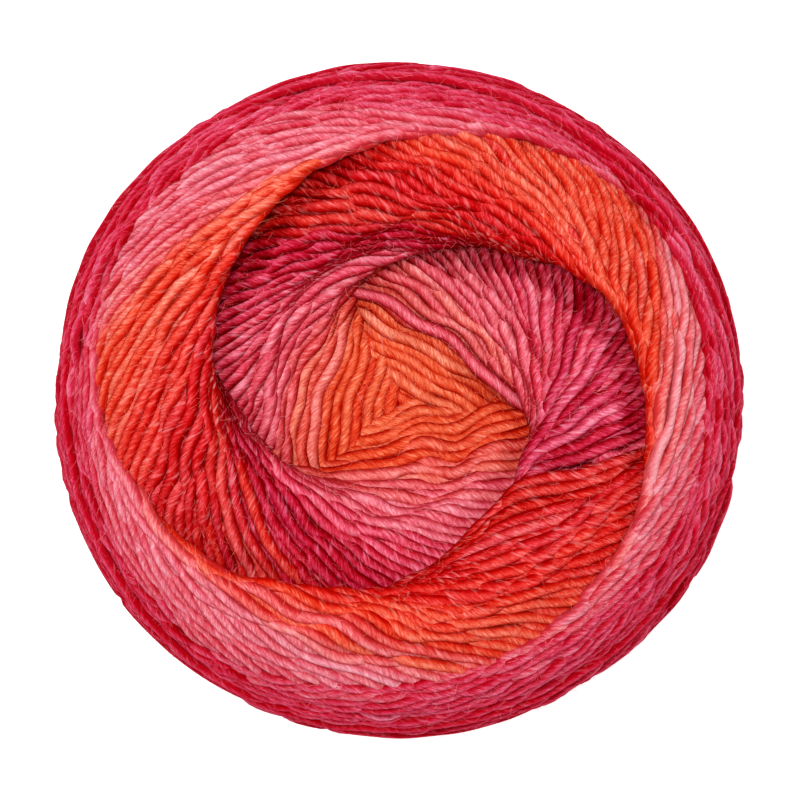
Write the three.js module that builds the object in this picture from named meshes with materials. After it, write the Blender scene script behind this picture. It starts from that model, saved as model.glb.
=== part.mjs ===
// A ball of yarn, wound flat like a cake: one solid of its wound form and main twists.
// Three sheets of wraps, laid in turn, step outwards and clockwise round a hollow crown,
// and each sheet overlaps the one before it in a curved fold.
// Millimetres, +Z up. The ball rests on Z = 0, on the crown of its underside, pressed flat.
import * as THREE from "three";

// The wound body
const RADIUS = 57.5; // half of its greatest width, along X
const OVAL = 0.973; // its width along Y, as a share of that
const DOME_HEIGHT = 38; // half of its height, were there no hollow
const DOME_POWER = 3.2; // how square the shoulder is
const HOLLOW_DEPTH = 21; // depth of the hollow in each end
const HOLLOW_RADIUS = 29; // distance at which the hollow's wall is steepest
const HOLLOW_POWER = 4; // how flat the hollow's floor is
const REST_DEPTH = 28.8; // the middle's height over the surface, once the crown is pressed flat

// The winding
const SHOULDER_LENGTH = 22.5; // what the shoulder adds to a wrap's way from the axis to the belly
const BELLY_DISTANCE = RADIUS + SHOULDER_LENGTH;
const STAGE_HEIGHT = 2.2; // thickness that each stage of winding adds
const BELLY_SHARE = 0.2; // share of that thickness that shows as relief round the belly
const CROWN_WAY = 37; // way out from the axis at which the relief starts to fade
const BELLY_WAY = 50; // way out at which it is down to the belly's share
const MOST_RELIEF = 3.4;
const FOLD_WIDTH = 5; // half of the width over which a fold's edge rounds down

// One row for each stage of winding, from the heart outwards. Each list has one value for
// each of the three sheets. A wrap crosses an end of the ball like a pulled string: azimuth
// is where it passes closest to the axis, in degrees, and near is how close, in millimetres.
// Either side of that place, clockwise and counterclockwise, it bends away from the axis
// this many times as fast at first as on a wrap left to itself.
const STAGES = [
  { azimuth: [176, 62, 292], near: [0.3, 0.3, 0.3], clockwise: [1.1, 1, 1.1], counter: [1.1, 1.5, 1.1] },
  { azimuth: [172, 66, 284], near: [8.5, 8.5, 6.5], clockwise: [1.1, 1, 1.2], counter: [1.1, 1.4, 1] },
  { azimuth: [166, 58, 276], near: [13.5, 14, 11], clockwise: [1, 1, 1.2], counter: [1, 1.1, 0.9] },
  { azimuth: [148, 36, 260], near: [17.5, 19, 15.8], clockwise: [1.2, 1.2, 1.2], counter: [0.7, 0.9, 0.7] },
  { azimuth: [122, 6, 238], near: [21.3, 22.5, 19.3], clockwise: [1.6, 1.5, 1.3], counter: [0.4, 0.8, 0.5] },
  { azimuth: [103, -1, 226], near: [23.8, 24, 21.4], clockwise: [1.4, 1.4, 1.3], counter: [0.5, 1, 0.6] },
  { azimuth: [88, -36, 209], near: [26, 24.4, 25.2], clockwise: [1.8, 1.2, 1.5], counter: [0.7, 3.7, 0.9] },
  { azimuth: [69, -40, 192], near: [29.2, 23.2, 30], clockwise: [2.1, 1.4, 1.3], counter: [0.9, 4.2, 1.3] },
  { azimuth: [58, -68, 166], near: [32.2, 30, 33.7], clockwise: [2.4, 1.1, 1.2], counter: [1.4, 1.3, 2.3] },
  { azimuth: [41, -97, 146], near: [37.3, 33.4, 36.9], clockwise: [2, 1.8, 1.5], counter: [1.2, 1.1, 1.8] },
  { azimuth: [24, -110, 134], near: [39.4, 35.2, 39.4], clockwise: [1.5, 2.2, 1.6], counter: [3.4, 2, 1.7] },
  { azimuth: [-8, -123, 119], near: [44, 42.2, 43.6], clockwise: [1.6, 1.5, 1.1], counter: [2.1, 1.4, 1.8] },
  { azimuth: [-45, -140, 101], near: [48.4, 49, 47.4], clockwise: [1.2, 1.4, 1.3], counter: [1.9, 1.2, 1.4] },
  { azimuth: [-68, -185, 82], near: [49.8, 60, 51.4], clockwise: [1.1, 1.2, 1.5], counter: [1.3, 1.2, 2.2] },
  { azimuth: [-42, -155, 92], near: [54, 62, 57], clockwise: [1, 1, 1.1], counter: [1, 1.1, 1.8] },
  { azimuth: [6, -105, 138], near: [58, 64, 61], clockwise: [1, 1, 1], counter: [1, 1, 1.1] },
  { azimuth: [62, -50, 192], near: [62, 67, 65], clockwise: [1, 1, 1], counter: [1, 1, 1] },
];
const SHEETS = [0, 1, 2];
const LAST_STAGE = STAGES.length - 1;
const STAGE_STEP = 0.25; // how finely the winding is searched for the wrap on top
// One sheet rests for these stages, and goes on with a bundle that lies over its older wraps.
const REST = { sheet: 1, start: 6.2, end: 6.9 };

// The mesh
const COLUMNS = 100; // round the axis
const END_RINGS = 22; // from the axis to the start of the shoulder
const SHOULDER_RINGS = 6; // from there to the belly, each way
const UNDERSIDE_RINGS = 12; // from the axis to the shoulder underneath, where less shows
const SHOULDER_START = 46;

const degrees = THREE.MathUtils.radToDeg;

// Height of the plain dome over the middle, at a distance from the axis.
function domeHeight(distance) {
  return DOME_HEIGHT * Math.sqrt(Math.max(0, 1 - (distance / RADIUS) ** DOME_POWER));
}

function endHeight(distance) {
  return domeHeight(distance) - HOLLOW_DEPTH * Math.exp(-((distance / HOLLOW_RADIUS) ** HOLLOW_POWER));
}

// The way out from the axis along the surface, with the steep shoulder unrolled.
function unrolled(distance) {
  return distance + SHOULDER_LENGTH * (1 - domeHeight(distance) / DOME_HEIGHT) ** 2;
}

// One value of one sheet's wrap at a stage between two rows.
function wrapValue(column, sheet, stage) {
  const row = Math.min(Math.floor(stage), LAST_STAGE - 1);
  return THREE.MathUtils.lerp(STAGES[row][column][sheet], STAGES[row + 1][column][sheet], stage - row);
}

// How far a wrap has bent away, from 0 where it is nearest the axis to 1 at the belly.
function bend(share, pull) {
  const bent = pull > 1 ? 1 - (1 - share) ** pull : share ** (1 / pull);
  return THREE.MathUtils.lerp(bent, share, share ** 6);
}

// How far a sheet's wrap lies inside a place on the end: 0 or more once it has passed over it.
function wrapMargin(sheet, stage, azimuth, way) {
  const near = wrapValue("near", sheet, stage);
  const middle = wrapValue("azimuth", sheet, stage);
  const turn = THREE.MathUtils.euclideanModulo(azimuth - middle + 180, 360) - 180;
  const share = Math.abs(turn) / 90;
  const rests = sheet === REST.sheet && stage > REST.start && stage < REST.end;
  if (share > 1 || rests) {
    return -near;
  }
  const bellyAngle = Math.acos(near / BELLY_DISTANCE);
  const pull = wrapValue(turn < 0 ? "clockwise" : "counter", sheet, stage);
  return way * Math.cos(bellyAngle * bend(share, pull)) - near;
}

// The stage of the newest wrap over a place, which is the one that shows there.
function newestStage(azimuth, way) {
  let newest = 0;
  for (const sheet of SHEETS) {
    let outer = wrapMargin(sheet, LAST_STAGE, azimuth, way);
    for (let stage = LAST_STAGE; stage > newest; stage -= STAGE_STEP) {
      const inner = wrapMargin(sheet, stage - STAGE_STEP, azimuth, way);
      if (outer >= 0) {
        newest = Math.max(newest, stage);
      } else if (inner >= 0) {
        newest = Math.max(newest, stage - (STAGE_STEP * outer) / (outer - inner));
      }
      outer = inner;
    }
  }
  return newest;
}

// The same, evened out over the width of a fold's rounded edge.
function softStage(azimuth, way) {
  const steps = [-FOLD_WIDTH, -FOLD_WIDTH / 2, 0, FOLD_WIDTH / 2, FOLD_WIDTH];
  let sum = 0;
  for (const step of steps) {
    const side = degrees(step / Math.max(way, FOLD_WIDTH));
    sum += newestStage(azimuth + side, way);
    sum += newestStage(azimuth, THREE.MathUtils.clamp(way + step, 0, BELLY_DISTANCE));
  }
  return sum / (2 * steps.length);
}

// The section of the plain form, from the middle of the underside to the middle of the top.
function section() {
  const points = [];
  const shoulder = (ring) =>
    SHOULDER_START + (RADIUS - SHOULDER_START) * Math.sin((ring / SHOULDER_RINGS) * (Math.PI / 2));
  for (let ring = 0; ring < UNDERSIDE_RINGS; ring++) {
    const distance = (SHOULDER_START * ring) / UNDERSIDE_RINGS;
    points.push(new THREE.Vector2(distance, -endHeight(distance)));
  }
  for (let ring = 0; ring <= SHOULDER_RINGS; ring++) {
    points.push(new THREE.Vector2(shoulder(ring), -endHeight(shoulder(ring))));
  }
  for (let ring = SHOULDER_RINGS - 1; ring >= 0; ring--) {
    points.push(new THREE.Vector2(shoulder(ring), endHeight(shoulder(ring))));
  }
  for (let ring = END_RINGS - 1; ring >= 0; ring--) {
    const distance = (SHOULDER_START * ring) / END_RINGS;
    points.push(new THREE.Vector2(distance, endHeight(distance)));
  }
  return points;
}

// Mean stage of each ring, so that the sheets' relief goes as far below the plain form as above it.
const meanStages = new Map();
function meanStage(way) {
  const key = way.toFixed(3);
  if (!meanStages.has(key)) {
    let sum = 0;
    for (let column = 0; column < COLUMNS; column++) {
      sum += newestStage((360 * column) / COLUMNS, way);
    }
    meanStages.set(key, sum / COLUMNS);
  }
  return meanStages.get(key);
}

// The ball: the plain form turned round the axis, then each place moved out or in by the
// winding over it. A wrap goes on round the ball's other end opposite to where it crossed
// this one, so the underside is wound as the top is, half a turn on.
function ballGeometry() {
  const geometry = new THREE.LatheGeometry(section(), COLUMNS);
  geometry.rotateX(Math.PI / 2);
  const position = geometry.getAttribute("position");
  for (let index = 0; index < position.count; index++) {
    const place = new THREE.Vector3().fromBufferAttribute(position, index);
    const distance = Math.min(RADIUS, Math.hypot(place.x, place.y));
    const turned = place.z < 0 ? 180 : 0;
    const azimuth = Math.round(degrees(Math.atan2(place.y, place.x)) * 1000) / 1000 + turned;
    const way = unrolled(distance);
    const belly = THREE.MathUtils.smoothstep(way, CROWN_WAY, BELLY_WAY);
    const share = THREE.MathUtils.lerp(1, BELLY_SHARE, belly);
    const height = STAGE_HEIGHT * share * (softStage(distance > 0 ? azimuth : 0, way) - meanStage(way));
    const relief = THREE.MathUtils.clamp(height, -MOST_RELIEF, MOST_RELIEF);
    const outward = new THREE.Vector3(
      (place.x / RADIUS) * (distance / RADIUS) ** (DOME_POWER - 2),
      (place.y / RADIUS) * (distance / RADIUS) ** (DOME_POWER - 2),
      (Math.sign(place.z) * domeHeight(distance)) / DOME_HEIGHT,
    ).normalize();
    place.addScaledVector(outward, relief);
    place.z = Math.max(place.z, -REST_DEPTH) + REST_DEPTH;
    position.setXYZ(index, place.x, place.y * OVAL, place.z);
  }
  geometry.computeVertexNormals();
  return geometry;
}

const ball = new THREE.Mesh(
  ballGeometry(),
  new THREE.MeshStandardMaterial({ color: 0xe0443f, roughness: 0.9, metalness: 0 }),
);
ball.name = "yarn_ball";

const part = new THREE.Group();
part.add(ball);
export default part;
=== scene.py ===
"""A ball of single-ply wool yarn, wound flat like a cake, on a white floor.

The wraps of the yarn follow the same winding table as the solid model. They are laid from the
newest to the oldest, each under the ones before it, and their parts that show become strands
with their dye, twist and loose fibres. Lengths are in millimetres, up to mesh_object.
"""

import math

import bpy
import numpy as np
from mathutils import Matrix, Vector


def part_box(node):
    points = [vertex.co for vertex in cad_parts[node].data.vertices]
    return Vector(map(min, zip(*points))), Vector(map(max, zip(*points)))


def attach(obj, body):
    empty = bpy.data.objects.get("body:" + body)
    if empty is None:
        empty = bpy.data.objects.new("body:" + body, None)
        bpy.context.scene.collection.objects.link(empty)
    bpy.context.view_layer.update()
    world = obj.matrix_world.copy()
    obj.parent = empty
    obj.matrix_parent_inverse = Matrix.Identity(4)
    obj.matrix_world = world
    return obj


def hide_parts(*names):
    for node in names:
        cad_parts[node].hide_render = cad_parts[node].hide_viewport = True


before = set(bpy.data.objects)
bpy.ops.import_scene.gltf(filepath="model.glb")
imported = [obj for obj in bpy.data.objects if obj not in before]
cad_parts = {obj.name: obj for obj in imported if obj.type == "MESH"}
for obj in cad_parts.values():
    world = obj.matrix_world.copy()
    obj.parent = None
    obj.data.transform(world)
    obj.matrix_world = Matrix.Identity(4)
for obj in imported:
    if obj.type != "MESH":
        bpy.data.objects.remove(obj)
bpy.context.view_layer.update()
NODE = "yarn_ball"
BALL_LOW, BALL_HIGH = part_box(NODE)
MM = 0.001

# ---------------------------------------------------------------- the wound body, as in the solid
RADIUS = (BALL_HIGH.x - BALL_LOW.x) / 2 / MM
OVAL = (BALL_HIGH.y - BALL_LOW.y) / (BALL_HIGH.x - BALL_LOW.x)
DOME_HEIGHT = 38.0
DOME_POWER = 3.2  # how square the shoulder is
HOLLOW_DEPTH = 21.0
HOLLOW_RADIUS = 29.0
HOLLOW_POWER = 4.0  # how flat the hollow's floor is
REST_DEPTH = 28.8  # the middle's height over the floor, once the crown is pressed flat
SHOULDER_LENGTH = 22.5  # by which the way over the ball to its belly is longer than the radius
BELLY_DISTANCE = RADIUS + SHOULDER_LENGTH
STAGE_HEIGHT = 2.2  # of the step that one stage of winding leaves
BELLY_SHARE = 0.2  # of that height, left at the belly
CROWN_WAY = 37.0  # where the steps start to fade, as a way out from the axis
BELLY_WAY = 50.0  # where they have faded
MOST_RELIEF = 3.4

# ---------------------------------------------------------------- the winding
# One row for each stage, and in each list one value for each of the three sheets: the
# azimuth at which a wrap passes closest to the axis, in degrees, how close it passes, and
# how fast it bends away clockwise and counterclockwise of there.
STAGES = (
    # azimuth, near, clockwise, counter
    ((176, 62, 292), (0.3, 0.3, 0.3), (1.1, 1.0, 1.1), (1.1, 1.5, 1.1)),
    ((172, 66, 284), (8.5, 8.5, 6.5), (1.1, 1.0, 1.2), (1.1, 1.4, 1.0)),
    ((166, 58, 276), (13.5, 14.0, 11.0), (1.0, 1.0, 1.2), (1.0, 1.1, 0.9)),
    ((148, 36, 260), (17.5, 19.0, 15.8), (1.2, 1.2, 1.2), (0.7, 0.9, 0.7)),
    ((122, 6, 238), (21.3, 22.5, 19.3), (1.6, 1.5, 1.3), (0.4, 0.8, 0.5)),
    ((103, -1, 226), (23.8, 24.0, 21.4), (1.4, 1.4, 1.3), (0.5, 1.0, 0.6)),
    ((88, -36, 209), (26.0, 24.4, 25.2), (1.8, 1.2, 1.5), (0.7, 3.7, 0.9)),
    ((69, -40, 192), (29.2, 23.2, 30.0), (2.1, 1.4, 1.3), (0.9, 4.2, 1.3)),
    ((58, -68, 166), (32.2, 30.0, 33.7), (2.4, 1.1, 1.2), (1.4, 1.3, 2.3)),
    ((41, -97, 146), (37.3, 33.4, 36.9), (2.0, 1.8, 1.5), (1.2, 1.1, 1.8)),
    ((24, -110, 134), (39.4, 35.2, 39.4), (1.5, 2.2, 1.6), (3.4, 2.0, 1.7)),
    ((-8, -123, 119), (44.0, 42.2, 43.6), (1.6, 1.5, 1.1), (2.1, 1.4, 1.8)),
    ((-45, -140, 101), (48.4, 49.0, 47.4), (1.2, 1.4, 1.3), (1.9, 1.2, 1.4)),
    ((-68, -185, 82), (49.8, 60.0, 51.4), (1.1, 1.2, 1.5), (1.3, 1.2, 2.2)),
    ((-42, -155, 92), (54.0, 62.0, 57.0), (1.0, 1.0, 1.1), (1.0, 1.1, 1.8)),
    ((6, -105, 138), (58.0, 64.0, 61.0), (1.0, 1.0, 1.0), (1.0, 1.0, 1.1)),
    ((62, -50, 192), (62.0, 67.0, 65.0), (1.0, 1.0, 1.0), (1.0, 1.0, 1.0)),
)
TABLE = np.array(STAGES, float)  # stage, column, sheet
COLUMNS, SHEETS = TABLE.shape[1:]
LAST_STAGE = len(STAGES) - 1
# One sheet rests for these stages, and goes on with a bundle that lies over its older wraps
RESTING_SHEET, REST_START, REST_END = 1, 6.2, 6.9
# A pink wrap that was laid late and askew: its stage and sheet, its values as in a row, and its dye
STRAY_WRAP = (2.4, 1, (55, 13.1, 1.0, 1.0), 3.3)
# The fewest wraps in a stage of each sheet: the last ones cover the whole belly
LEAST_WRAPS = (3, 3, 3, 3, 3, 3, 3, 3, 3, 3, 3, 3, 4, 8, 17, 19, 19)

# ---------------------------------------------------------------- the yarn
PITCH = 1.74  # between neighbouring strands where a sheet is widest
HALF_WIDTH = 1.13
HALF_THICKNESS = 0.86
PRESS_DEPTH = 0.95  # how far under a newer strand an older one lies that it covers
PRESS_FULL, PRESS_NONE = 1.25, 1.90  # between middles, when it is right under and when it is clear
STEEPEST = 0.6  # slope of a strand as it goes under another
PRESSED = 0.8  # of its half thickness: how close to the floor a strand's middle is pressed
STRAND_CLEAR, CORE_CLEAR, FUZZ_CLEAR = 0.05, 0.3, 0.03  # least heights over the floor
WANDER_SHARED, WANDER_OWN, WANDER_SHIFT = 0.60, 0.07, 0.04  # sideways, with its neighbours and alone
DRIFT_WAVES, DRIFT_MEMORY = (2, 3, 5, 8, 13, 21, 30), 0.96  # round a wrap, and from one to the next
HEIGHT_RIPPLE = 0.07
RIM_LIFT = 0.3  # how unevenly the wraps of the rim lie, one higher than another
RIM_STAGE = 12.3  # where the rim begins
# How much these change along a strand, and from strand to strand
WIDTH_RIPPLE, WIDTH_SPREAD = 0.09, 0.05
DYE_RIPPLE, DYE_SPREAD = 0.12, 0.28  # stages
TONE_RIPPLE, TONE_SPREAD = 0.06, 0.12
SHELTER_LEAST, SHELTER_MOST = 1.1, 3.4  # rise of newer strands close by that gives a strand painted shade
SHADY_AZIMUTH = 82.0  # folds on this side of the hollow face away from the light
SHADE_MEAN, SHADE_SWING = 0.6, 0.5  # of the shade, and how much it changes with the side
SHADE_DEEPENS, SHADE_DARKENS = 0.5, 0.35  # power that full painted shade adds to the dye, and light that it takes
OLDEST_DYE = 1.0  # stages: wraps that show through chinks are no further back than this in the dyes
DYE_REACH = 2.5  # the newest wrap this far in or out counts for that
HIGH_FOLD = 1.3  # a strand goes on further under a fold this much higher
FAR_TUCKED = 3  # places that it goes on for
SHOWN_STAGES = 0.4  # a wrap shows where nothing more than this much newer lies on it
STEP = 1.45  # between the places along a strand
LOOP_SAMPLES = 240  # places round a wrap
SEED = 7

# Dyes along the yarn: stage of winding and linear colour
DYES = (
    (0.0, (0.73, 0.088, 0.032)),
    (1.5, (0.73, 0.088, 0.037)),
    (2.3, (0.71, 0.108, 0.088)),
    (3.2, (0.74, 0.130, 0.170)),
    (4.4, (0.73, 0.115, 0.165)),
    (5.2, (0.70, 0.068, 0.125)),
    (5.75, (0.54, 0.021, 0.062)),
    (6.1, (0.51, 0.013, 0.042)),
    (6.6, (0.50, 0.010, 0.027)),
    (7.0, (0.64, 0.031, 0.024)),
    (7.6, (0.60, 0.017, 0.023)),
    (8.6, (0.69, 0.030, 0.026)),
    (9.4, (0.76, 0.074, 0.040)),
    (10.4, (0.78, 0.082, 0.044)),
    (11.0, (0.77, 0.115, 0.115)),
    (11.65, (0.76, 0.142, 0.192)),
    (12.6, (0.74, 0.118, 0.165)),
    (13.3, (0.68, 0.050, 0.105)),
    (13.9, (0.64, 0.032, 0.078)),
    (16.0, (0.69, 0.034, 0.084)),
)


def dome_height(distance):
    """Half the height of the plain form without its hollows, at a distance from the axis."""
    return DOME_HEIGHT * np.sqrt(np.maximum(0, 1 - (distance / RADIUS) ** DOME_POWER))


def end_height(distance):
    return dome_height(distance) - HOLLOW_DEPTH * np.exp(-((distance / HOLLOW_RADIUS) ** HOLLOW_POWER))


PROFILE_DISTANCE = RADIUS * np.sin(np.linspace(0, math.pi / 2, 2000))
PROFILE_WAY = PROFILE_DISTANCE + SHOULDER_LENGTH * (1 - dome_height(PROFILE_DISTANCE) / DOME_HEIGHT) ** 2
# Millimetres on the ball for a millimetre outwards on its map
OUT_SCALE = np.hypot(
    np.gradient(PROFILE_DISTANCE, PROFILE_WAY), np.gradient(end_height(PROFILE_DISTANCE), PROFILE_WAY)
)


def wrap_values(sheet, stage):
    """A wrap's azimuth, near, clockwise and counter values at stages between two rows."""
    rows = np.arange(LAST_STAGE + 1)
    return [np.interp(stage, rows, TABLE[:, column, sheet]) for column in range(COLUMNS)]


def smooth(share):
    """From 0 to 1, with a gentle start and end."""
    share = np.clip(share, 0, 1)
    return share * share * (3 - 2 * share)


def on_map(azimuth, way):
    """Places on the flat map of an end."""
    return way * np.cos(np.radians(azimuth)), way * np.sin(np.radians(azimuth))


def resting(sheet, stage):
    return (sheet == RESTING_SHEET) & (stage > REST_START) & (stage < REST_END)


def bend(share, pull):
    """How far a wrap has bent away, from 0 at its nearest place to 1 at the belly."""
    fast = 1 - (1 - share) ** np.maximum(pull, 1)
    slow = share ** (1 / np.minimum(pull, 1))
    bent = np.where(pull > 1, fast, slow)
    return bent + (share - bent) * share**6


def wrap_over_end(values, count):
    """Azimuths and ways out from the axis along a wrap's passage over one end of the ball."""
    azimuth, near, clockwise, counter = values
    turn = np.linspace(-90, 90, 361)
    share = np.abs(turn) / 90
    angle = math.acos(near / BELLY_DISTANCE) * bend(share, np.where(turn < 0, clockwise, counter))
    way = near / np.cos(angle)
    x, y = on_map(azimuth + turn, way)
    length = np.concatenate([[0], np.cumsum(np.hypot(np.diff(x), np.diff(y)))])
    even = np.linspace(0, length[-1], count)
    return azimuth + np.interp(even, length, turn), np.interp(even, length, way)


def newest_stage(azimuth, way):
    """The stage of the newest wrap over places on an end, the one that shows there."""
    stages = np.arange(0, LAST_STAGE + 1e-9, 0.125)
    newest = np.zeros(np.broadcast(azimuth, way).shape)
    for sheet in range(SHEETS):
        middle, near, clockwise, counter = wrap_values(sheet, stages)
        belly_angle = np.arccos(near / BELLY_DISTANCE)
        for index, stage in enumerate(stages):
            if resting(sheet, stage):
                continue
            turn = (azimuth - middle[index] + 180) % 360 - 180
            share = np.abs(turn) / 90
            pull = np.where(turn < 0, clockwise[index], counter[index])
            angle = belly_angle[index] * bend(np.minimum(share, 1), pull)
            over = (share <= 1) & (way * np.cos(angle) >= near[index])
            newest = np.where(over, np.maximum(newest, stage), newest)
    return newest


MAP_STEP = 0.5
MAP_WAYS = np.arange(0, BELLY_DISTANCE + MAP_STEP, MAP_STEP)
STAGE_MAP = newest_stage(np.arange(360.0)[:, None], MAP_WAYS[None])
MEAN_STAGES = STAGE_MAP.mean(0)


def mapped_stage(azimuth, way):
    """The newest stage over places on an end, looked up on the map."""
    column = np.clip(np.rint(way / MAP_STEP).astype(int), 0, len(MAP_WAYS) - 1)
    return STAGE_MAP[np.rint(azimuth).astype(int) % 360, column]


def form_height(stage, way):
    """How far out from the plain form the ball's surface is when it has been wound to a stage."""
    belly = smooth((way - CROWN_WAY) / (BELLY_WAY - CROWN_WAY))
    share = 1 + (BELLY_SHARE - 1) * belly
    height = STAGE_HEIGHT * share * (stage - np.interp(way, MAP_WAYS, MEAN_STAGES))
    return np.clip(height, -MOST_RELIEF, MOST_RELIEF)


def plain_form(azimuth, way, end):
    """Places on the plain form, and the directions out of it. end is 1 on top and -1 underneath."""
    over = way > BELLY_DISTANCE  # past the belly, on the other end
    way = np.where(over, 2 * BELLY_DISTANCE - way, way)
    end = np.where(over, -end, end)
    distance = np.interp(way, PROFILE_WAY, PROFILE_DISTANCE)
    cos, sin = np.cos(np.radians(azimuth)), np.sin(np.radians(azimuth))
    place = np.stack([distance * cos, distance * sin, end * end_height(distance)], -1)
    lean = (distance / RADIUS) ** (DOME_POWER - 1)
    out = np.stack([lean * cos, lean * sin, end * dome_height(distance) / DOME_HEIGHT], -1)
    return place, out / np.linalg.norm(out, axis=-1, keepdims=True)


def wrap_schedule(sheet):
    """The stages of a sheet's wraps, so close that no gap wider than the pitch shows."""
    step, places = 0.05, 61
    stages = np.arange(0, LAST_STAGE, step)
    now = np.array([wrap_over_end(wrap_values(sheet, stage), places) for stage in stages])
    after = np.array([wrap_over_end(wrap_values(sheet, stage + step), places) for stage in stages])
    azimuth, way = now[:, 0], now[:, 1]
    x, y = on_map(azimuth, way)
    after_x, after_y = on_map(after[:, 0], after[:, 1])
    along_x, along_y = np.gradient(x, axis=1), np.gradient(y, axis=1)
    moved = np.abs((after_x - x) * along_y - (after_y - y) * along_x) / np.hypot(along_x, along_y)
    shows = newest_stage(azimuth, way) < stages[:, None] + SHOWN_STAGES
    moved = np.where(shows & (way < BELLY_DISTANCE * 0.9), moved, 0)  # the belly has plenty
    moved[resting(sheet, stages)] = 0
    fewest = np.interp(stages, range(len(LEAST_WRAPS)), LEAST_WRAPS) * PITCH * step
    widest = np.maximum(moved.max(1), fewest)
    count = np.concatenate([[0], np.cumsum(widest / PITCH)])
    schedule = np.interp(np.arange(int(count[-1])), count, np.append(stages, LAST_STAGE))
    return schedule[~resting(sheet, schedule)]


def ripple(rng, places, waves):
    """A smooth random line round a loop, about 1 high."""
    line = np.zeros(len(places))
    for wave in waves:
        line += rng.normal() * np.sin(wave * places * 2 * math.pi + rng.uniform(0, 6.28))
    return line / math.sqrt(len(waves))


class Drift:
    """Smooth random lines round the loops of a sheet, each much like the one before it."""

    def __init__(self, rng, waves, memory):
        self.rng = rng
        self.waves = np.array(waves)[:, None]
        self.memory = memory
        self.parts = rng.normal(size=(2, len(waves)))

    def next(self, places):
        fresh = self.rng.normal(size=self.parts.shape)
        self.parts = self.memory * self.parts + math.sqrt(1 - self.memory**2) * fresh
        turn = self.waves * places * 2 * math.pi
        wave = self.parts[0][:, None] * np.sin(turn) + self.parts[1][:, None] * np.cos(turn)
        return wave.sum(0) / math.sqrt(len(self.waves))


class Field:
    """What the strands laid so far look like, on a flat map of each end of the ball.

    Strands are laid from the newest to the oldest, and each goes under the ones before it. The
    ceiling is the highest that the middle of an older strand can be, and the top is the surface
    that shows. A place's map position is its way out from the axis, in the direction of its
    azimuth. The maps reach past the belly, so that a strand which crosses it is on both.
    """

    CELL = 0.3
    BORDER = 6.0
    REACH = BELLY_DISTANCE + BORDER
    MARGIN = 3  # cells left round the edge, for looking at the ones near a place
    STRAND_REACH = 7  # cells, a little more than PRESS_NONE
    ALONG = 0.5  # from a place of a strand to the cells it stands for
    LINE_STEP = 0.4  # of the places of a wrap

    def __init__(self):
        self.size = int(2 * self.REACH / self.CELL) + 1
        self.ceiling = np.full((2, self.size, self.size), np.inf)
        self.top = np.full((2, self.size, self.size), -np.inf)
        self.owner = np.full((2, self.size, self.size), -1)

    def cells(self, azimuth, way):
        last = self.size - 1 - self.MARGIN
        x, y = on_map(azimuth, way)
        return (
            np.clip(np.rint((x + self.REACH) / self.CELL).astype(int), self.MARGIN, last),
            np.clip(np.rint((y + self.REACH) / self.CELL).astype(int), self.MARGIN, last),
        )

    def headroom(self, azimuth, way, side):
        i, j = self.cells(azimuth, way)
        return self.ceiling[side, i, j]

    def lay(self, index, azimuth, way, side, height, width, covers):
        """Lays one strand. It shows where it is on top, and older ones go under its covers."""
        i, j = self.cells(azimuth, way)
        cos, sin = np.cos(np.radians(azimuth)), np.sin(np.radians(azimuth))
        x, y = way * cos, way * sin
        inner_way = np.minimum(way, 2 * BELLY_DISTANCE - way)
        out_scale = np.interp(inner_way, PROFILE_WAY, OUT_SCALE)
        round_scale = np.interp(inner_way, PROFILE_WAY, PROFILE_DISTANCE) / np.maximum(way, 1e-3)
        step_x, step_y = np.gradient(x), np.gradient(y)
        step_out = (step_x * cos + step_y * sin) * out_scale
        step_round = (-step_x * sin + step_y * cos) * round_scale
        step_length = np.maximum(np.hypot(step_out, step_round), 1e-6)
        reach = self.STRAND_REACH
        for di in range(-reach, reach + 1):
            for dj in range(-reach, reach + 1):
                if di * di + dj * dj > (reach + 0.5) ** 2:
                    continue
                cell_i = np.clip(i + di, 0, self.size - 1)
                cell_j = np.clip(j + dj, 0, self.size - 1)
                dx = cell_i * self.CELL - self.REACH - x
                dy = cell_j * self.CELL - self.REACH - y
                d_out = (dx * cos + dy * sin) * out_scale
                d_round = (-dx * sin + dy * cos) * round_scale
                across = np.abs(d_out * step_round - d_round * step_out) / step_length
                along = np.abs(d_out * step_out + d_round * step_round) / step_length
                near = (across < PRESS_NONE) & (along < self.ALONG)
                at = side[near], cell_i[near], cell_j[near]
                clear = smooth((across[near] - PRESS_FULL) / (PRESS_NONE - PRESS_FULL))
                np.minimum.at(self.ceiling, at, covers[near] + PRESS_DEPTH * clear)
                near &= across < width
                at = side[near], cell_i[near], cell_j[near]
                bulge = np.sqrt(1 - (across[near] / width[near]) ** 2)
                top = height[near] + HALF_THICKNESS * bulge
                higher = top > self.top[at]
                at = tuple(part[higher] for part in at)
                np.maximum.at(self.top, at, top[higher])
                self.owner[at] = index


def loop_of(rng, drift, values):
    """One wrap right round the ball: azimuths, ways out and side of the ball, 0 on top."""
    half = LOOP_SAMPLES // 2
    azimuth, way = wrap_over_end(values, half + 1)
    azimuth = np.concatenate([azimuth[:-1], azimuth[:-1] + 180])
    way = np.concatenate([way[:-1], way[:-1]])
    side = np.repeat([0, 1], half)
    places = np.arange(2 * half) / (2 * half)
    wander = WANDER_SHARED * drift.next(places)
    wander = wander + WANDER_OWN * ripple(rng, places, (11, 23, 37, 61)) + WANDER_SHIFT * rng.normal()
    x, y = on_map(azimuth, way)
    # Sideways on the map; the same direction on both ends' maps at the belly
    step_x, step_y = np.gradient(x), np.gradient(y)
    length = np.hypot(step_x, step_y)
    x, y = x + wander * step_y / length, y - wander * step_x / length
    way = np.minimum(np.hypot(x, y), BELLY_DISTANCE)
    return np.degrees(np.arctan2(y, x)), way, side, places


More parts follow.
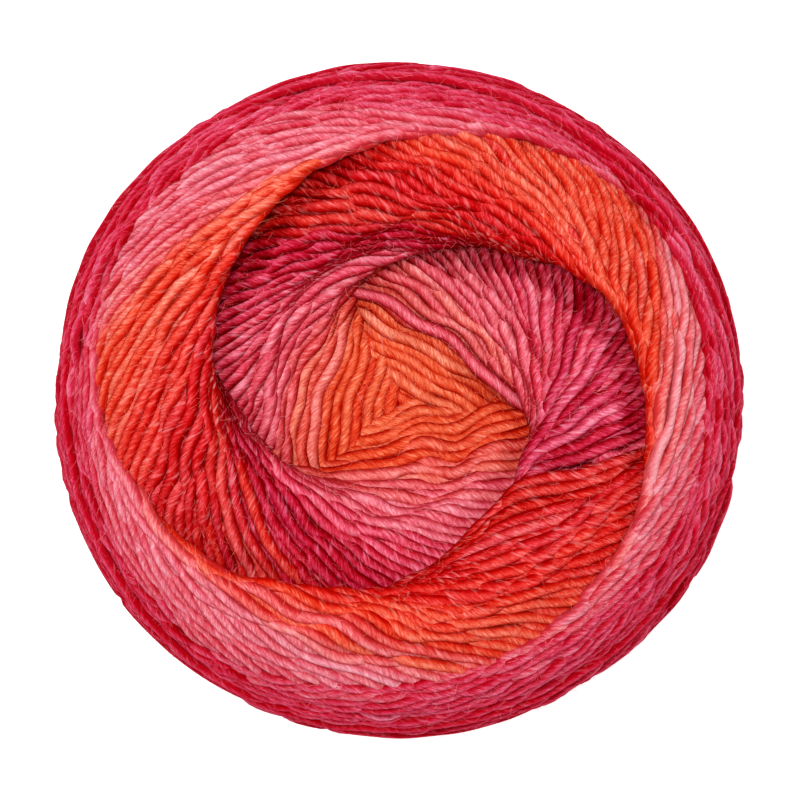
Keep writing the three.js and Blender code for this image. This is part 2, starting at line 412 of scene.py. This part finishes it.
def ease(height):
    """Keeps a strand from dipping or rising steeply where newer ones press it down."""
    for reach in (8, 5, 3, 2, 1):
        slope = STEEPEST * reach * STEP
        height = np.minimum(height, np.minimum(np.roll(height, reach), np.roll(height, -reach)) + slope)
    return height / 2 + (np.roll(height, 1) + np.roll(height, -1)) / 4


def spread(height, pick, shifts):
    """The least or the greatest height around each place, as many cells away as the shifts add up to."""
    for axis in (1, 2):
        for shift in shifts:
            height = pick(height, pick(np.roll(height, shift, axis), np.roll(height, -shift, axis)))
    return height


def wind():
    """Lays every wrap, from the newest to the oldest. Returns the wraps and the map of them."""
    rng = np.random.default_rng(SEED)
    order = [
        (stage, sheet, wrap_values(sheet, stage), stage)
        for sheet in range(SHEETS)
        for stage in wrap_schedule(sheet)
    ]
    order.append(STRAY_WRAP)
    order.sort(key=lambda wrap: -wrap[0])
    field = Field()
    drifts = [Drift(rng, DRIFT_WAVES, DRIFT_MEMORY) for _ in range(SHEETS)]
    wraps = []
    for index, (stage, sheet, values, dye_stage) in enumerate(order):
        azimuth, way, side, places = loop_of(rng, drifts[sheet], values)
        lift = RIM_LIFT * np.clip(stage - RIM_STAGE, 0, 1) * np.clip(rng.normal(), -2, 1)
        form = form_height(stage, way) - HALF_THICKNESS + lift
        form = form + HEIGHT_RIPPLE * ripple(rng, places, (9, 21, 34))
        height = ease(np.minimum(form, field.headroom(azimuth, way, side)))
        swell = 1 + WIDTH_RIPPLE * ripple(rng, places, (19, 37, 53, 71)) + WIDTH_SPREAD * rng.normal()
        dye_stage = dye_stage + DYE_SPREAD * rng.normal() + DYE_RIPPLE * ripple(rng, places, (2, 4, 7))
        tone = 1 + TONE_SPREAD * rng.normal() + TONE_RIPPLE * ripple(rng, places, (3, 7, 12))
        wrap = {
            "stage": stage,
            "dye_stage": dye_stage,
            "tone": tone[:, None],
            "azimuth": azimuth,
            "way": way,
            "side": side,
            "height": height,
            "width": HALF_WIDTH * swell,
        }
        wraps.append(wrap)
        # Where the strand is itself well pressed down, it covers nothing
        covers = np.where(form - height < PRESS_DEPTH / 2, form - PRESS_DEPTH, np.inf)
        lay_on_both_ends(field, index, wrap, covers)
    around_tops = spread(field.top, np.maximum, (1, 2, 4))
    for index, wrap in enumerate(wraps):
        i, j = field.cells(wrap["azimuth"], wrap["way"])
        above = around_tops[wrap["side"], i, j] - wrap["height"] - HALF_THICKNESS
        # The dye, with painted shade where newer strands rise close by
        wrap["dye"] = shaded_strand_dye(wrap, above)
        # It shows where it is on top within two cells
        shows = np.zeros(len(i), bool)
        for di in range(-2, 3):
            for dj in range(-2, 3):
                shows |= field.owner[wrap["side"], i + di, j + dj] == index
        wrap["shows"] = shows | (wider(shows, FAR_TUCKED) & (above > HIGH_FOLD))
    return wraps, field


def lay_on_both_ends(field, index, wrap, covers):
    """Lays a whole wrap on the maps, and its stretches near the belly on both ends' maps."""
    x, y = on_map(wrap["azimuth"], wrap["way"])
    for end in (0, 1):
        mine = np.flatnonzero(wrap["side"] == end)
        # Closer places than the strand keeps, so that it leaves no gaps on the map
        line = np.arange(mine[0], mine[-1] + 0.01, Field.LINE_STEP)
        fx, fy = np.interp(line, mine, x[mine]), np.interp(line, mine, y[mine])
        azimuth, way = np.degrees(np.arctan2(fy, fx)), np.hypot(fx, fy)
        height = np.interp(line, mine, wrap["height"][mine])
        width = np.interp(line, mine, wrap["width"][mine])
        cover = covers[np.rint(line).astype(int)]
        side = np.full(len(line), end)
        field.lay(index, azimuth, way, side, height, width, cover)
        past = way > BELLY_DISTANCE - Field.BORDER
        if past.any():
            beyond = 2 * BELLY_DISTANCE - way[past]
            sizes = height[past], width[past], cover[past]
            field.lay(index, azimuth[past], beyond, 1 - side[past], *sizes)


def shaded_strand_dye(wrap, above):
    """The colours along a wrap, with painted shade: deeper and darker where newer strands stand this high
    above it.
    """
    around = [mapped_stage(wrap["azimuth"], wrap["way"] + step) for step in (-DYE_REACH, 0, DYE_REACH)]
    oldest = np.min(around, axis=0) - OLDEST_DYE
    dye = linear_dye(np.clip(np.maximum(wrap["dye_stage"], oldest), 0, LAST_STAGE))
    # Painted shade under the folds, most on the side of the hollow that faces away from the light
    shade = np.clip((above - SHELTER_LEAST) / (SHELTER_MOST - SHELTER_LEAST), 0, 1)
    shade = shade * (SHADE_MEAN + SHADE_SWING * np.cos(np.radians(wrap["azimuth"] - SHADY_AZIMUTH)))
    shade = shade[:, None]
    return dye ** (wrap["tone"] + SHADE_DEEPENS * shade) * (1 - SHADE_DARKENS * shade)


def wider(marks, places):
    """Marks round a loop, spread this many places further each way."""
    spread_marks = marks.copy()
    for shift in range(1, places + 1):
        spread_marks |= np.roll(marks, shift) | np.roll(marks, -shift)
    return spread_marks


def linear_dye(stage):
    stops = np.array([stop for stop, _ in DYES])
    colours = np.array([colour for _, colour in DYES])
    return np.stack([np.interp(stage, stops, colours[:, k]) for k in range(3)], -1)


def to_world(place):
    """Places on the ball, with its middle at 0, to places on the floor."""
    world = place * np.array([1, OVAL, 1])
    world[..., 2] = world[..., 2] + REST_DEPTH
    return world


def shown_runs(shows, grow, least):
    """Stretches of a loop that show, each made longer by grow places so that its ends are tucked in."""
    count = len(shows)
    wide = wider(shows, grow)
    if wide.all():
        return [np.arange(count + 1) % count]
    starts = np.flatnonzero(wide & ~np.roll(wide, 1))
    runs = []
    for start in starts:
        length = 1
        while wide[(start + length) % count]:
            length += 1
        if length >= least:
            runs.append((start + np.arange(length)) % count)
    return runs


def strand_rings(wrap, run):
    """Middle line, directions and half sizes of a strand along a run of its places."""
    end = np.where(wrap["side"][run] == 0, 1, -1)
    place, out = plain_form(wrap["azimuth"][run], wrap["way"][run], end)
    centre = to_world(place + out * wrap["height"][run][:, None])
    along = np.gradient(centre, axis=0)
    along /= np.linalg.norm(along, axis=1, keepdims=True)
    out = out * np.array([1, 1 / OVAL, 1])
    out -= (out * along).sum(1)[:, None] * along
    out /= np.linalg.norm(out, axis=1, keepdims=True)
    across = np.cross(along, out)
    # The floor presses the underside flat
    centre[:, 2] = np.maximum(centre[:, 2], HALF_THICKNESS * PRESSED)
    return centre, across, out, wrap["width"][run]


# ---------------------------------------------------------------- the scene
RING = np.radians([-38.0, 2.0, 38.0, 70.0, 110.0, 142.0, 178.0, 218.0])  # round a strand
SIDES = len(RING)
PIECES = 20  # that the strands are shared out to
TWIST_SIGN, TWIST_LENGTH = 1, 8.5
TUCKED = 2  # places that a strand goes on for, out of sight, past where it shows
LEAST_RUN = 4  # places: a shorter stretch isn't built
TAPER = 0.5  # size of a strand at its tucked ends
HAIRS = 36000
HEART_HAIRS, HEART_RADIUS = 700, 7.0  # the heart is felted over
HAIR_LENGTHS = 0.7, 2.6
HAIR_HALF_WIDTHS = (0.017, 0.018, 0.014, 0.006)  # from root to tip
HAIR_ANGLES = 15, 165  # of its root round the strand, in degrees from one side over the top
HAIR_ALONG, HAIR_ACROSS, HAIR_RISE = (0.4, 1.3), 0.8, (0.05, 0.8)  # shares of its heading
HAIR_CURL, HAIR_DROOP = (0.1, 0.5), 0.25
HAIR_CLEAR = 0.03  # of the strand, at its root
FUZZ_COLOURS = {
    "orange": (0.88, 0.20, 0.10),
    "pink": (0.88, 0.26, 0.30),
    "crimson": (0.74, 0.09, 0.12),
    "red": (0.78, 0.10, 0.08),
}
FLECK_STAGES = (0, 3, 5, 6.5, 8, 9.5, 12)
FLECK_AMOUNTS = (0.25, 0.2, 0.5, 0.8, 0.8, 0.35, 0.2)
BAKE_TALL, BAKE_FILL = 3.3, 0.92  # height to width of a band's cell, and how much of it is used
LENGTH_APART = 40.0  # along the yarn, from one stretch to the next, so that their marks differ
CORE_DEPTH = 0.8  # the core's skin is this far under the strands' tops
CORE_DEEPEST = -MOST_RELIEF - 2
CORE_HOLE = 0.012  # round the axis, as a share of the way to the belly
CORE_RINGS, CORE_COLUMNS = 62, 200
CORE_SHADE_POWER, CORE_SHADE_SHARE = 1.4, 0.8  # painted shade in the chinks: power and share of its dye
# The light, the room, the floor and the camera, in metres, watts and shares of full white
KEY_PLACE, KEY_SIZE, KEY_WATTS = (-0.14, 0.21, 1.6), 0.6, 22
ROOM_STRENGTH = 0.55
FLOOR_SIZE, FLOOR_GLOW = 6, 0.7
CAMERA_PLACE, CAMERA_LENS = (0.00025, 0, 2.03), 544


def mesh_object(name, vertices, faces, material):
    mesh = bpy.data.meshes.new(name)
    mesh.from_pydata((vertices * MM).tolist(), [], faces)
    mesh.polygons.foreach_set("use_smooth", np.ones(len(mesh.polygons), bool))
    mesh.materials.append(material)
    thing = bpy.data.objects.new(name, mesh)
    bpy.context.scene.collection.objects.link(thing)
    return thing


def show_as_wool(thing):
    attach(thing, "root")
    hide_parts(NODE)


def colour_attribute(mesh, name, values):
    layer = mesh.color_attributes.new(name, "FLOAT_COLOR", "POINT")
    rgba = np.concatenate([values, np.ones((len(values), 1))], 1)
    layer.data.foreach_set("color", rgba.astype(np.float32).ravel())


def corner_map(mesh, name, values):
    layer = mesh.uv_layers.new(name=name)
    layer.data.foreach_set("uv", values.astype(np.float32).ravel())


def node(tree, kind, **settings):
    made = tree.nodes.new(kind)
    for key, value in settings.items():
        setattr(made, key, value)
    return made


def matt_material(name, roughness):
    """A material with no shine, its nodes and its shader."""
    material = bpy.data.materials.new(name)
    material.use_nodes = True
    shader = material.node_tree.nodes["Principled BSDF"]
    shader.inputs["Roughness"].default_value = roughness
    shader.inputs["Specular IOR Level"].default_value = 0.0
    return material, material.node_tree, shader


# The wool's fibres. Noise makes ridges, from about 0 to 1.6. They and the round form of the strand add up to
# its rise, and from the least rise to the most the dye goes from deep and dark to pale, as painted shade low
# down and a painted highlight on top.
FIBRE_CHANGE = 0.28  # of the fibres along the yarn, to a millimetre
LOBES_SHARE, STRINGS_SHARE, FINE_SHARE, SPECKS_SHARE = 0.20, 0.72, 0.50, 0.20
# Painted shade and highlight: rises from the strand's top and from the ridges, the rises at full shade and
# full highlight, and the dye's power there
CREST_LIGHT_RISE, RIDGE_RISE = 3.2, 3.4
SHADE_RISE, HIGHLIGHT_RISE = 4.4, 6.5
SHADE_POWER, HIGHLIGHT_POWER = 1.8, 0.58
SHADE_DIM_SLOPE, SHADE_DIM_START = -0.24, 1.23  # painted shade: brightness from that power
SPECK_START, SPECK_FULL, SPECK_POWER = 0.58, 0.80, 0.42
RIDGE_HEIGHT = 0.30


def wool_material(name):
    """Loosely twisted wool: long fibres that wind round the strand, with paler ones among them."""
    material, tree, shader = matt_material(name, roughness=0.88)
    link = tree.links.new

    def maths(operation, first, second=None, third=None):
        step = node(tree, "ShaderNodeMath", operation=operation)
        for socket, value in zip(step.inputs, (first, second, third)):
            if value is None:
                continue
            if isinstance(value, (int, float)):
                socket.default_value = value
            else:
                link(value, socket)
        return step.outputs[0]

    def noise(vector, scale, detail, roughness):
        cloud = node(tree, "ShaderNodeTexNoise")
        cloud.inputs["Scale"].default_value = scale
        cloud.inputs["Detail"].default_value = detail
        cloud.inputs["Roughness"].default_value = roughness
        link(vector, cloud.inputs["Vector"])
        return cloud.outputs["Fac"]

    def map_range(value, start, end, low=0.0, high=1.0):
        """low where value is at start or below, high where it is at end or above."""
        step = node(tree, "ShaderNodeMapRange")
        names = ("From Min", "From Max", "To Min", "To Max")
        for socket, number in zip(names, (start, end, low, high)):
            step.inputs[socket].default_value = number
        link(value, step.inputs["Value"])
        return step.outputs[0]

    def strength(colour, gamma):
        """The colour to a power: deeper over 1, paler under it."""
        step = node(tree, "ShaderNodeGamma")
        link(colour, step.inputs["Color"])
        if isinstance(gamma, float):
            step.inputs["Gamma"].default_value = gamma
        else:
            link(gamma, step.inputs["Gamma"])
        return step.outputs[0]

    # The dye attribute holds the dye with painted shade under the folds
    dye = node(tree, "ShaderNodeAttribute", attribute_name="dye").outputs["Color"]
    fleck = node(tree, "ShaderNodeAttribute", attribute_name="fleck").outputs["Fac"]
    run = node(tree, "ShaderNodeUVMap", uv_map="Yarn").outputs["UV"]
    parts = node(tree, "ShaderNodeSeparateXYZ")
    link(run, parts.inputs[0])
    along, round_it = parts.outputs[0], parts.outputs[1]
    # Noise at this place changes round the strand, and only slowly along its winding fibres
    turn = maths("MULTIPLY_ADD", along, TWIST_SIGN / TWIST_LENGTH, round_it)
    angle = maths("MULTIPLY", turn, 2 * math.pi)
    fibre = node(tree, "ShaderNodeCombineXYZ")
    link(maths("COSINE", angle), fibre.inputs[0])
    link(maths("SINE", angle), fibre.inputs[1])
    link(maths("MULTIPLY", along, FIBRE_CHANGE), fibre.inputs[2])
    lobes = noise(fibre.outputs[0], scale=0.9, detail=1.0, roughness=0.5)
    strings = noise(fibre.outputs[0], scale=2.8, detail=2.0, roughness=0.65)
    fine = noise(fibre.outputs[0], scale=7.0, detail=1.0, roughness=0.6)
    specks = noise(fibre.outputs[0], scale=1.6, detail=1.0, roughness=0.5)

    ridges = maths("MULTIPLY_ADD", strings, STRINGS_SHARE, maths("MULTIPLY", fine, FINE_SHARE))
    ridges = maths("MULTIPLY_ADD", lobes, LOBES_SHARE, ridges)
    ridges = maths("MULTIPLY_ADD", specks, SPECKS_SHARE, ridges)
    # Painted shade and highlight: deep between the strands and fibres and on a strand's sides the dye is
    # made stronger and darker, and on their crests paler
    crest_light = maths("SINE", maths("MULTIPLY", round_it, 2 * math.pi))
    rise = maths("MULTIPLY_ADD", crest_light, CREST_LIGHT_RISE, maths("MULTIPLY", ridges, RIDGE_RISE))
    painted_shade_power = map_range(rise, SHADE_RISE, HIGHLIGHT_RISE, low=SHADE_POWER, high=HIGHLIGHT_POWER)
    painted_shading = node(tree, "ShaderNodeVectorMath", operation="SCALE")
    link(strength(dye, painted_shade_power), painted_shading.inputs[0])
    link(maths("MULTIPLY_ADD", painted_shade_power, SHADE_DIM_SLOPE, SHADE_DIM_START), painted_shading.inputs["Scale"])
    # Here and there a paler fibre
    flecked = node(tree, "ShaderNodeMix", data_type="RGBA")
    spotted = map_range(specks, SPECK_START, SPECK_FULL)
    link(maths("MULTIPLY", spotted, fleck), flecked.inputs["Factor"])
    link(painted_shading.outputs[0], flecked.inputs["A"])
    link(strength(dye, SPECK_POWER), flecked.inputs["B"])
    link(flecked.outputs["Result"], shader.inputs["Base Color"])
    bump = node(tree, "ShaderNodeBump")
    bump.inputs["Strength"].default_value = 1.0
    bump.inputs["Distance"].default_value = RIDGE_HEIGHT * MM
    link(ridges, bump.inputs["Height"])
    link(bump.outputs[0], shader.inputs["Normal"])
    return material


def ring_points(centre, across, out, width):
    """Rings of points along a strand, thinner at its two tucked ends."""
    taper = np.ones(len(centre))
    taper[0] = taper[-1] = TAPER
    half_across = (width * taper)[:, None, None]
    half_out = (HALF_THICKNESS * taper)[:, None, None]
    ring = (
        across[:, None] * (np.cos(RING)[None, :, None] * half_across)
        + out[:, None] * (np.sin(RING)[None, :, None] * half_out)
    )
    points = centre[:, None] + ring
    points[..., 2] = np.maximum(points[..., 2], STRAND_CLEAR)
    return points.reshape(-1, 3)


def face_corners(left, right, bottom, top):
    """The four corners of each face on a flat map, in the order of the faces' points."""
    corners = ((left, bottom), (left, top), (right, top), (right, bottom))
    return np.stack([np.stack(corner, -1) for corner in corners], -2).reshape(-1, 2)


def run_corners(length):
    """Distance along the yarn and turns round it, at the corners of a strand's faces."""
    turn = RING / (2 * math.pi)
    turn_after = np.append(turn[1:], turn[0] + 1)
    bands = len(length) - 1
    start = np.repeat(length[:-1, None], SIDES, 1)
    end = np.repeat(length[1:, None], SIDES, 1)
    low = np.repeat(turn[None], bands, 0)
    high = np.repeat(turn_after[None], bands, 0)
    return face_corners(start, end, low, high)


def bake_corners(bands):
    """Corners of an even layout in strips, one for each face of each band, with none overlapping."""
    columns = int(math.sqrt(BAKE_TALL * bands))
    rows = -(-bands // columns)
    band = np.repeat(np.arange(bands), SIDES)
    side = np.tile(np.arange(SIDES), bands)
    left, low = (band % columns) / columns, (band // columns) / rows
    tall, wide = BAKE_FILL / rows / SIDES, 1 / columns
    bottom = low + side * tall
    return face_corners(left, left + wide, bottom, bottom + tall)


def strand_mesh(name, wraps, material):
    """One piece: the stretches that show of some of the wraps, as rounded strands."""
    vertices, dyes, flecks, faces, yarn_map = [], [], [], [], []
    base = 0
    length_so_far = 0.0
    around = np.arange(SIDES)
    after = (around + 1) % SIDES
    for wrap in wraps:
        for run in shown_runs(wrap["shows"], TUCKED, LEAST_RUN):
            centre, across, out, width = strand_rings(wrap, run)
            count = len(run)
            vertices.append(ring_points(centre, across, out, width))
            dyes.append(np.repeat(wrap["dye"][run], SIDES, 0))
            flecks.append(np.full(count * SIDES, fleck_amount(wrap["stage"])))
            steps = np.linalg.norm(np.diff(centre, axis=0), axis=1)
            length = length_so_far + np.concatenate([[0], np.cumsum(steps)])
            length_so_far = length[-1] + LENGTH_APART
            yarn_map.append(run_corners(length))
            first = base + np.arange(count - 1)[:, None] * SIDES
            quads = (first + around, first + after, first + SIDES + after, first + SIDES + around)
            faces.append(np.stack(quads, -1).reshape(-1, 4))
            base += count * SIDES
    faces = np.concatenate(faces)
    thing = mesh_object(name, np.concatenate(vertices), faces.tolist(), material)
    mesh = thing.data
    # The dye attribute holds painted shade as well as the dye
    colour_attribute(mesh, "dye", np.concatenate(dyes))
    layer = mesh.attributes.new("fleck", "FLOAT", "POINT")
    layer.data.foreach_set("value", np.concatenate(flecks).astype(np.float32))
    corner_map(mesh, "Yarn", np.concatenate(yarn_map))
    corner_map(mesh, "OFBake", bake_corners(len(faces) // SIDES))
    return thing


def fleck_amount(stage):
    """Pale fibres show most among the red and crimson ones."""
    return float(np.interp(stage, FLECK_STAGES, FLECK_AMOUNTS))


def core_mesh(field, material):
    """The skin of the older wraps, just under the strands that show."""
    rings, columns = CORE_RINGS, CORE_COLUMNS
    ways = BELLY_DISTANCE * np.linspace(CORE_HOLE, 1, rings)
    azimuths = np.arange(columns) * 360 / columns
    way, azimuth = np.meshgrid(ways, azimuths, indexing="ij")
    i, j = field.cells(azimuth, way)
    # The lowest strand top close by, so that the skin stays under them all
    tops = spread(np.where(np.isfinite(field.top), field.top, np.inf), np.minimum, (1, 2, 4, 6))
    tops = np.where(np.isfinite(tops), tops, -MOST_RELIEF)
    # Painted shade: the skin's dye is deepened and darkened, since the chinks it shows through lie in shade
    dye = linear_dye(mapped_stage(azimuth, way)).reshape(-1, 3) ** CORE_SHADE_POWER * CORE_SHADE_SHARE
    vertices, dyes = [], []
    for side in (0, 1):
        height = np.maximum(tops[side, i, j], CORE_DEEPEST) - CORE_DEPTH
        place, out = plain_form(azimuth, way, np.full(way.shape, 1 - 2 * side))
        place = to_world(place + out * height[..., None])
        place[..., 2] = np.maximum(place[..., 2], CORE_CLEAR)
        vertices.append(place.reshape(-1, 3))
        dyes.append(dye)
    quads = []
    ring, column = np.meshgrid(np.arange(rings - 1), np.arange(columns), indexing="ij")
    for side in (0, 1):
        inner = side * rings * columns + ring * columns + column
        inner_after = side * rings * columns + ring * columns + (column + 1) % columns
        outer, outer_after = inner + columns, inner_after + columns
        if side == 0:
            order = (inner, outer, outer_after, inner_after)
        else:
            order = (inner, inner_after, outer_after, outer)
        quads.append(np.stack(order, -1).reshape(-1, 4))
    belly = (rings - 1) * columns + np.arange(columns)
    belly_after = np.roll(belly, -1)
    low = belly + rings * columns
    low_after = np.roll(low, -1)
    quads.append(np.stack([belly, low, low_after, belly_after], -1))
    thing = mesh_object("yarn_core", np.concatenate(vertices), np.concatenate(quads).tolist(), material)
    colour_attribute(thing.data, "dye", np.concatenate(dyes))
    return thing


def core_material():
    material, tree, shader = matt_material("wool_core", roughness=0.9)
    # The dye attribute holds the skin's dye with painted shade
    dye = node(tree, "ShaderNodeAttribute", attribute_name="dye")
    tree.links.new(dye.outputs["Color"], shader.inputs["Base Color"])
    return material


def plain_material(name, colour, roughness):
    material = bpy.data.materials.new(name)
    material.use_nodes = True
    shader = material.node_tree.nodes["Principled BSDF"]
    shader.inputs["Base Color"].default_value = (*colour, 1)
    shader.inputs["Roughness"].default_value = roughness
    return material


def fuzz_kind(dye):
    """The colour of loose fibre that goes with a dye, from how much blue and green are in it."""
    if dye[2] > 0.09:
        return "pink"
    if dye[1] > 0.045:
        return "orange"
    return "crimson" if dye[2] > 0.03 else "red"


def fuzz_meshes(wraps, rng):
    """Loose fibres that lie on the strands or stand off them, as fine flat curls of a few colours."""
    lines = {kind: [] for kind in FUZZ_COLOURS}
    outs = {kind: [] for kind in FUZZ_COLOURS}
    shown = [(wrap, k) for wrap in wraps for k in np.flatnonzero(wrap["shows"])]
    heart = [(wrap, k) for wrap, k in shown if wrap["way"][k] < HEART_RADIUS]
    roots = [shown[pick] for pick in rng.integers(len(shown), size=HAIRS)]
    roots += [heart[pick] for pick in rng.integers(len(heart), size=HEART_HAIRS)]
    for wrap, k in roots:
        centre, across, out, width = strand_rings(wrap, (k + np.arange(-1, 2)) % LOOP_SAMPLES)
        angle = math.radians(rng.uniform(*HAIR_ANGLES))
        radial = across[1] * math.cos(angle) + out[1] * math.sin(angle)
        root = centre[1] + across[1] * math.cos(angle) * width[1] + out[1] * math.sin(angle) * HALF_THICKNESS
        length = rng.uniform(*HAIR_LENGTHS)
        along = np.cross(out[1], across[1])
        heading = across[1] * rng.normal() * HAIR_ACROSS
        heading = heading + along * rng.choice([-1, 1]) * rng.uniform(*HAIR_ALONG)
        heading += radial * rng.uniform(*HAIR_RISE)
        heading /= np.linalg.norm(heading)
        curl = np.cross(heading, rng.normal(size=3)) * rng.uniform(*HAIR_CURL) - radial * HAIR_DROOP
        t = np.linspace(0, 1, len(HAIR_HALF_WIDTHS))[:, None]
        kind = fuzz_kind(wrap["dye"][k])
        lines[kind].append(root + radial * HAIR_CLEAR + heading * t * length + curl * t**2 * length)
        outs[kind].append(radial)
    made = []
    for kind, colour in FUZZ_COLOURS.items():
        line, out = np.array(lines[kind]), np.array(outs[kind])[:, None]
        side = np.cross(np.gradient(line, axis=1), out)
        side /= np.linalg.norm(side, axis=2, keepdims=True)
        half = np.array(HAIR_HALF_WIDTHS)[None, :, None]
        points = np.stack([line - side * half, line + side * half], 2)
        points[..., 2] = np.maximum(points[..., 2], FUZZ_CLEAR)
        count, steps = line.shape[:2]
        first = (np.arange(count)[:, None] * steps + np.arange(steps - 1)) * 2
        quads = np.stack([first, first + 1, first + 3, first + 2], -1).reshape(-1, 4).tolist()
        material = plain_material("loose_fibre_" + kind, colour, roughness=0.8)
        made.append(mesh_object("fuzz_" + kind, points.reshape(-1, 3), quads, material))
    return made


def floor_material():
    """White paper that glows a little to the camera, so that it is plain white in the picture."""
    material = plain_material("white_floor", (0.9, 0.9, 0.9), roughness=0.9)
    tree = material.node_tree
    glow = node(tree, "ShaderNodeEmission")
    sight = node(tree, "ShaderNodeLightPath")
    share = node(tree, "ShaderNodeMath", operation="MULTIPLY")
    share.inputs[1].default_value = FLOOR_GLOW
    both = node(tree, "ShaderNodeAddShader")
    tree.links.new(sight.outputs["Is Camera Ray"], share.inputs[0])
    tree.links.new(share.outputs[0], glow.inputs["Strength"])
    tree.links.new(tree.nodes["Principled BSDF"].outputs[0], both.inputs[0])
    tree.links.new(glow.outputs[0], both.inputs[1])
    tree.links.new(both.outputs[0], tree.nodes["Material Output"].inputs["Surface"])
    return material


def soft_light(name, place, size, watts):
    """A round light that faces the ball's middle."""
    light = bpy.data.lights.new(name, "AREA")
    light.shape = "DISK"
    light.size = size
    light.energy = watts
    lamp = bpy.data.objects.new(name, light)
    lamp.location = place
    middle = (BALL_LOW + BALL_HIGH) / 2
    lamp.rotation_euler = (middle - lamp.location).to_track_quat("-Z", "Y").to_euler()
    bpy.context.scene.collection.objects.link(lamp)


wraps, field = wind()
wool = wool_material("wool_yarn")
for number in range(PIECES):
    piece = strand_mesh("yarn_strands_%02d" % (number + 1), wraps[number::PIECES], wool)
    show_as_wool(piece)
show_as_wool(core_mesh(field, core_material()))
for piece in fuzz_meshes(wraps, np.random.default_rng(SEED + 1)):
    show_as_wool(piece)

# ---------------------------------------------------------------- floor, light and camera
scene = bpy.context.scene
bpy.ops.mesh.primitive_plane_add(size=FLOOR_SIZE, location=(0, 0, 0))
floor = bpy.context.object
floor.name = "floor"
floor.data.materials.append(floor_material())

soft_light("key", KEY_PLACE, KEY_SIZE, KEY_WATTS)
world = bpy.data.worlds.new("room")
world.use_nodes = True
world.node_tree.nodes["Background"].inputs["Color"].default_value = (1, 1, 1, 1)
world.node_tree.nodes["Background"].inputs["Strength"].default_value = ROOM_STRENGTH
scene.world = world

eye = bpy.data.cameras.new("camera")
eye.sensor_width = 36
eye.lens = CAMERA_LENS
camera = bpy.data.objects.new("camera", eye)
camera.location = CAMERA_PLACE
scene.collection.objects.link(camera)
scene.camera = camera
scene.view_settings.view_transform = "Standard"
